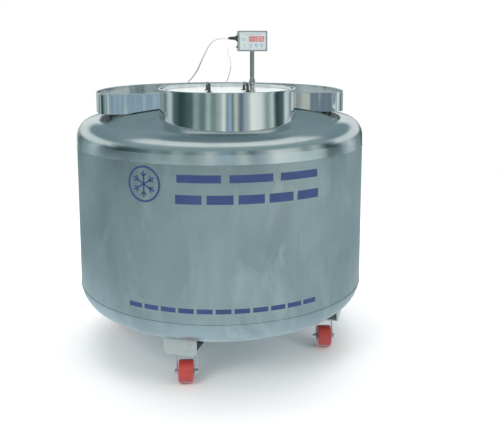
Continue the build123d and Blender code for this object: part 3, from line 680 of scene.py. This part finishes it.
def backScrews():
    screws = []
    for x in (display["left"] + 0.007, display["right"] - 0.007):
        for z in (display["low"] + 0.007, display["high"] - 0.007):
            screw = turned([(0.0028, 0), (0.0028, 0.0006), (0.0022, 0.0012), (0.0009, 0.0014),
                            (0.0008, 0.0004)], 24)
            screw.rotation_euler = (-pi / 2, 0, 0)
            screw.location = (x, display["back"], z)
            applyPlace(screw)
            screws.append(screw)
    return joinAll(screws, "backScrews")


def ribbedGland():
    profile = [(0.0125, 0), (0.0125, 0.0018), (0.0112, 0.0030), (0.0085, 0.0058), (0.0072, 0.0078)]
    for rib in range(leadGland["ribs"]):
        start = 0.0090 + rib * leadGland["ribPitch"]
        swell = 0.0066 - rib * 0.00026
        profile += [(swell, start), (swell, start + 0.0015), (swell - 0.0010, start + 0.0018),
                    (swell - 0.0010, start + leadGland["ribPitch"] - 0.0003)]
    gland = turned(profile + [(0.0045, 0.0295), (0.0042, 0.0320)], 40)
    gland.rotation_euler = (0, -pi / 2, 0)
    gland.location = leadGland["base"]
    return gland


def glandNut():
    nut = turned([(0.0092, 0), (0.0115, 0.0022), (0.0115, 0.0120), (0.0104, 0.0140), (0.0096, 0.0185),
                  (0.0082, 0.0220)], 6)
    nut.location = (*gaugePlace, 1.026)
    applyPlace(nut)
    applyModifier(nut, "BEVEL", width=0.0005, segments=2)
    ring = turned([(0.0088, 0), (0.0094, 0.0006), (0.0094, 0.0026), (0.0080, 0.0034)], 40)
    ring.location = (*gaugePlace, 1.0225)
    applyPlace(ring)
    return joinAll([nut, ring], "glandNut")


finishPiece(displayFrame(), "displayFrame", "lid", finishes["displayBorder"], 30)
finishPiece(digits(), "digitBars", "lid", finishes["digitLit"], 30)
finishPiece(faceMarks(), "faceMarks", "lid", finishes["displayBorder"], 30)
finishPiece(backScrews(), "backScrews", "lid", finishes["zincPlate"], 40)
finishPiece(ribbedGland(), "ribbedGland", "lid", finishes["plasticBlack"], 40)
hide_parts("lead_gland")
finishPiece(glandNut(), "glandNut", "lid", finishes["postSteel"], 32)
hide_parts("gland_nut")
print("gauge and display dressed")


boltSet = {"spacing": 0.060, "plateLow": 0.107, "plateHigh": 0.114, "head": 0.0072, "washer": 0.0065}


def bolt():
    # hexagon head and washer below, shank, nut and washer above
    low, high = boltSet["plateLow"], boltSet["plateHigh"]
    head = turned([(0.0052, low - 0.0049), (0.0065, low - 0.0042), (0.0065, low - 0.0014)], 6)
    applyModifier(head, "BEVEL", width=0.0003, segments=2)
    nut = turned([(0.0065, high + 0.0012), (0.0065, high + 0.0040), (0.0054, high + 0.0046)], 6)
    applyModifier(nut, "BEVEL", width=0.0003, segments=2)
    washers = [turned([(0.0060, base), (0.0065, base + 0.0002), (0.0065, base + 0.0010),
                       (0.0060, base + 0.0012)], 24) for base in (low - 0.0013, high)]
    shank = turned([(0.0036, low - 0.0045), (0.0039, low - 0.0041), (0.0039, high + 0.0048),
                    (0.0030, high + 0.0050)], 16)
    return joinAll([head, nut, shank] + washers, "bolt")


def casterBolts():
    master = bolt()
    half = boltSet["spacing"] / 2
    bolts = []
    for angle in casterAngles:
        a = radians(angle)
        for x in (-half, half):
            for y in (-half, half):
                place = (swivelRadius * sin(a) + x * cos(a) - y * sin(a),
                         -swivelRadius * cos(a) + x * sin(a) + y * cos(a), 0)
                bolts.append(copyOf(master, place, (0, 0, a)))
    bpy.data.objects.remove(master)
    return joinAll(bolts, "casterBolts")


finishPiece(casterBolts(), "casterBolts", "root", finishes["zincPlate"], 32)
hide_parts("caster_bolts")
print("casters bolted")


marks = {"clear": 0.00025, "thick": 0.00015, "badgeRadius": 0.061, "badgeRing": 0.007, "badgeTurn": -32.3,
         "badgeHeight": 0.716, "startY": -0.56, "cell": 0.008,
         # height, bar height, first and last azimuth, number of bars
         "rows": [(0.741, 0.026, -21.5, 32.0, 3), (0.673, 0.030, -21.5, 32.0, 5), (0.300, 0.016, -40, 31, 11)],
         "gapShare": 0.16}


def flatBar(width, height, x, z, turn=0.0):
    startFresh()
    bpy.ops.mesh.primitive_grid_add(
        x_subdivisions=max(2, round(width / marks["cell"])), y_subdivisions=2, size=1,
        location=(x, marks["startY"], z),
        rotation=(pi / 2, 0, 0))
    bar = bpy.context.object
    bar.scale = (width, height, 1)
    bpy.ops.object.transform_apply(location=False, rotation=False, scale=True)
    applyPlace(bar)
    if turn:
        bpy.ops.object.mode_set(mode="EDIT")
        bpy.ops.mesh.select_all(action="SELECT")
        bpy.ops.transform.rotate(value=-radians(turn), orient_axis="Y",
                                 center_override=(0, marks["startY"], z))
        bpy.ops.object.mode_set(mode="OBJECT")
    return bar


def wrapOn(mark, azimuth):
    applyModifier(mark, "SHRINKWRAP", target=cadNodes["outer_shell"], wrap_method="PROJECT",
                  wrap_mode="ABOVE_SURFACE", use_project_y=True, use_positive_direction=True,
                  use_negative_direction=False, offset=marks["clear"])
    applyModifier(mark, "SOLIDIFY", thickness=marks["thick"], offset=1)
    mark.rotation_euler = (0, 0, radians(azimuth))
    applyPlace(mark)
    return mark


def badge():
    # a ring with a six-armed frost star
    height = marks["badgeHeight"]
    startFresh()
    bpy.ops.mesh.primitive_circle_add(
        vertices=72, radius=marks["badgeRadius"], fill_type="NGON", location=(0, marks["startY"], height),
        rotation=(pi / 2, 0, 0))
    ringMark = bpy.context.object
    applyPlace(ringMark)
    bpy.ops.object.mode_set(mode="EDIT")
    bpy.ops.mesh.select_all(action="SELECT")
    bpy.ops.mesh.inset(thickness=marks["badgeRing"])
    bpy.ops.mesh.delete(type="FACE")
    bpy.ops.object.mode_set(mode="OBJECT")
    arms = [ringMark]
    for index in range(3):
        arms.append(flatBar(0.088, 0.0056, 0, height, 30 + index * 60))
    for index in range(6):
        for lean in (-38, 38):
            twig = flatBar(0.017, 0.0046, 0.0075, height, lean)
            bpy.ops.object.mode_set(mode="EDIT")
            bpy.ops.mesh.select_all(action="SELECT")
            bpy.ops.transform.translate(value=(0.024, 0, 0))
            bpy.ops.transform.rotate(value=-radians(30 + index * 60), orient_axis="Y",
                                     center_override=(0, marks["startY"], height))
            bpy.ops.object.mode_set(mode="OBJECT")
            arms.append(twig)
    return wrapOn(joinAll(arms, "badge"), marks["badgeTurn"])


def barRows():
    bars = []
    for height, barHeight, first, last, count in marks["rows"]:
        pitch = (last - first) / count
        width = 0.55 * radians(pitch * (1 - marks["gapShare"]))
        for index in range(count):
            bars.append(wrapOn(flatBar(width, barHeight, 0, height), first + pitch * (index + 0.5)))
    return bars


finishPiece(joinAll([badge()] + barRows(), "bodyMarks"), "bodyMarks", "root",
            finishes["markBlue"], 30)
print("marks put on")


room = {
    "floor": 30, "white": 0.92, "studio": 0.9,
    # what stands round the object, from the back through the left side, the front and the right side
    "surround": [(0.00, (0.20, 0.27, 0.29)), (0.05, (0.50, 0.58, 0.60)), (0.09, (0.10, 0.15, 0.17)),
                 (0.14, (0.30, 0.40, 0.42)), (0.18, (0.62, 0.72, 0.74)), (0.215, (0.10, 0.16, 0.17)),
                 (0.26, (0.04, 0.08, 0.08)), (0.32, (0.10, 0.17, 0.17)), (0.345, (0.34, 0.44, 0.44)),
                 (0.375, (0.16, 0.24, 0.24)), (0.40, (0.50, 0.60, 0.58)), (0.425, (0.22, 0.32, 0.31)),
                 (0.45, (0.44, 0.52, 0.50)), (0.472, (0.90, 0.92, 0.88)), (0.486, (0.24, 0.36, 0.44)),
                 (0.497, (0.42, 0.54, 0.66)), (0.508, (0.16, 0.26, 0.30)), (0.525, (0.66, 0.68, 0.60)),
                 (0.545, (0.14, 0.20, 0.26)), (0.57, (0.42, 0.50, 0.52)), (0.60, (1.0, 1.0, 0.98)),
                 (0.64, (0.86, 0.90, 0.90)), (0.67, (0.30, 0.40, 0.38)), (0.70, (0.64, 0.72, 0.70)),
                 (0.73, (0.04, 0.07, 0.08)), (0.77, (0.10, 0.16, 0.18)), (0.81, (0.74, 0.82, 0.84)),
                 (0.86, (0.26, 0.34, 0.36)), (0.91, (0.08, 0.12, 0.14)), (1.00, (0.20, 0.27, 0.29))],
    # the sky by the sine of its height, in front and at the back
    "frontSky": [(0.0, (0.42, 0.52, 0.54)), (0.30, (0.34, 0.45, 0.47)), (0.52, (0.42, 0.52, 0.54)),
                 (0.62, (1.1, 1.1, 1.1)), (0.80, (1.0, 1.0, 1.0)), (0.88, (0.22, 0.31, 0.34)),
                 (1.0, (0.20, 0.28, 0.31))],
    "backSky": [(0.0, (0.95, 1.0, 1.0)), (0.26, (0.95, 1.0, 1.0)), (0.36, (0.26, 0.36, 0.40)),
                (0.80, (0.34, 0.44, 0.47)), (1.0, (0.20, 0.28, 0.31))],
}


def rampOf(tree, stops, value):
    ramp = addNode(tree, "ShaderNodeValToRGB")
    elements = ramp.color_ramp.elements
    for stop in stops[1:-1]:
        elements.new(stop[0])
    for element, (position, colour) in zip(elements, stops):
        element.position = position
        element.color = (*colour, 1)
    ramp.color_ramp.interpolation = "EASE"
    link(tree, value, ramp.inputs["Fac"])
    return ramp.outputs["Color"]


def blend(tree, share, one, two, kind="MIX"):
    mix = addNode(tree, "ShaderNodeMix", data_type="RGBA", blend_type=kind)
    link(tree, share, mix.inputs[0])
    for socket, colour in ((mix.inputs[6], one), (mix.inputs[7], two)):
        if isinstance(colour, tuple):
            socket.default_value = (*colour, 1)
        else:
            link(tree, colour, socket)
    return mix.outputs[2]


def combine(tree, operation, *values):
    node = addNode(tree, "ShaderNodeMath", operation=operation)
    for socket, value in zip(node.inputs, values):
        if isinstance(value, (int, float)):
            socket.default_value = value
        else:
            link(tree, value, socket)
    return node.outputs[0]


def surroundBands(tree, parts):
    # upright bands by their direction, a whole turn from the back over the left side
    turn = combine(tree, "ARCTAN2", parts.outputs["X"], parts.outputs["Y"])
    turn = combine(tree, "WRAP", turn, 2 * pi, 0)
    return rampOf(tree, room["surround"], spread(tree, turn, 2 * pi, 0))


def addFloor():
    # a pale floor to the eye; to glossy rays it glows instead with a painted reflection, greyer than the floor,
    # with the surround's bands far off
    startFresh()
    bpy.ops.mesh.primitive_plane_add(size=room["floor"], location=(0, 0, -0.0002))
    floor = bpy.context.object
    floor.name = "studioFloor"
    material = newMaterial("paleFloor", (0.93, 0.94, 0.94), rough=0.8)
    layRough(material, cloud(material, (3, 3, 3)), 0.3, 0.7, 0.7, 0.9)
    place = objectPlace(material, (1, 1, 1))
    parts = addNode(material, "ShaderNodeSeparateXYZ")
    link(material, place, parts.inputs[0])
    away = addNode(material, "ShaderNodeVectorMath", operation="LENGTH")
    link(material, place, away.inputs[0])
    away = away.outputs["Value"]
    # painted reflection: the colours the floor glows with for glossy rays, darker to the left and to the back,
    # with darker patches
    paintedReflectionColour = blend(material, spread(material, parts.outputs["X"], -0.6, 1.6),
                 (0.66, 0.76, 0.78), (0.92, 1.04, 1.06))
    paintedReflectionColour = blend(material, spread(material, parts.outputs["Y"], -1.4, 1.2), paintedReflectionColour, (0.44, 0.55, 0.59))
    patches = spread(material, cloud(material, (0.9, 0.5, 1), 3, 0.5), 0.35, 0.7)
    paintedReflectionColour = blend(material, patches, paintedReflectionColour, (0.62, 0.68, 0.70), "MULTIPLY")
    # painted highlight: the floor's glow for glossy rays is brighter within 1.5 m of the object
    paintedReflectionColour = blend(material, spread(material, away, 1.5, 0.7), paintedReflectionColour, (0.74, 0.86, 0.93))
    paintedReflectionColour = blend(material, spread(material, away, 4.2, 5.6), paintedReflectionColour, surroundBands(material, parts))
    # painted reflection: this glow, not the lit floor, is what polished steel sees of the floor
    paintedReflectionGlow = addNode(material, "ShaderNodeEmission")
    link(material, paintedReflectionColour, paintedReflectionGlow.inputs["Color"])
    cove = addNode(material, "ShaderNodeEmission")
    faded = addNode(material, "ShaderNodeMixShader")
    link(material, spread(material, away, 1.6, 4.5), faded.inputs[0])
    link(material, material.node_tree.nodes["Principled BSDF"].outputs[0], faded.inputs[1])
    link(material, cove.outputs[0], faded.inputs[2])
    rays = addNode(material, "ShaderNodeLightPath")
    choose = addNode(material, "ShaderNodeMixShader")
    link(material, rays.outputs["Is Glossy Ray"], choose.inputs[0])
    link(material, faded.outputs[0], choose.inputs[1])
    link(material, paintedReflectionGlow.outputs[0], choose.inputs[2])
    link(material, choose.outputs[0], material.node_tree.nodes["Material Output"].inputs["Surface"])
    floor.data.materials.append(material)


def addSurround():
    # plain white to the eye and to dull surfaces, the workshop round the object to polished ones
    world = bpy.data.worlds.new("studio")
    bpy.context.scene.world = world
    world.use_nodes = True
    place = addNode(world, "ShaderNodeTexCoord")
    parts = addNode(world, "ShaderNodeSeparateXYZ")
    link(world, place.outputs["Generated"], parts.inputs[0])
    height = parts.outputs["Z"]
    isBack = spread(world, parts.outputs["Y"], -0.1, 0.15)
    sky = blend(world, isBack, rampOf(world, room["frontSky"], height),
                rampOf(world, room["backSky"], height))
    backGlow = combine(world, "MULTIPLY", isBack, spread(world, height, 0.0, 0.08))
    isSky = combine(world, "MAXIMUM", backGlow, spread(world, height, 0.12, 0.25))
    background = world.node_tree.nodes["Background"]
    link(world, blend(world, isSky, surroundBands(world, parts), sky), background.inputs["Color"])
    background.inputs["Strength"].default_value = room["studio"]
    plain = addNode(world, "ShaderNodeBackground")
    plain.inputs["Color"].default_value = (1, 1, 1, 1)
    rays = addNode(world, "ShaderNodeLightPath")
    link(world, spread(world, rays.outputs["Is Camera Ray"], 0, 1, room["white"], 1),
         plain.inputs["Strength"])
    choose = addNode(world, "ShaderNodeMixShader")
    link(world, combine(world, "MAXIMUM", rays.outputs["Is Camera Ray"], rays.outputs["Is Diffuse Ray"]),
         choose.inputs[0])
    link(world, background.outputs[0], choose.inputs[1])
    link(world, plain.outputs[0], choose.inputs[2])
    link(world, choose.outputs[0], world.node_tree.nodes["World Output"].inputs["Surface"])


def addLight(name, place, aim, size, power):
    startFresh()
    direction = Vector(aim) - Vector(place)
    bpy.ops.object.light_add(type="AREA", location=place,
                             rotation=direction.to_track_quat("-Z", "Y").to_euler())
    lamp = bpy.context.object
    lamp.name = name
    lamp.data.shape = "RECTANGLE"
    lamp.data.size, lamp.data.size_y = size
    lamp.data.energy = power
    lamp.visible_glossy = False


addFloor()
addSurround()
addLight("keyLight", (-3.2, -3.4, 3.4), (0, 0, 0.5), (1.8, 2.2), 75)
addLight("fillLight", (3.6, -2.6, 2.6), (0, 0, 0.5), (1.4, 2.0), 40)
addLight("topLight", (0.0, 0.9, 4.2), (0, 0, 0.5), (4.5, 2.2), 110)
print("room lit")
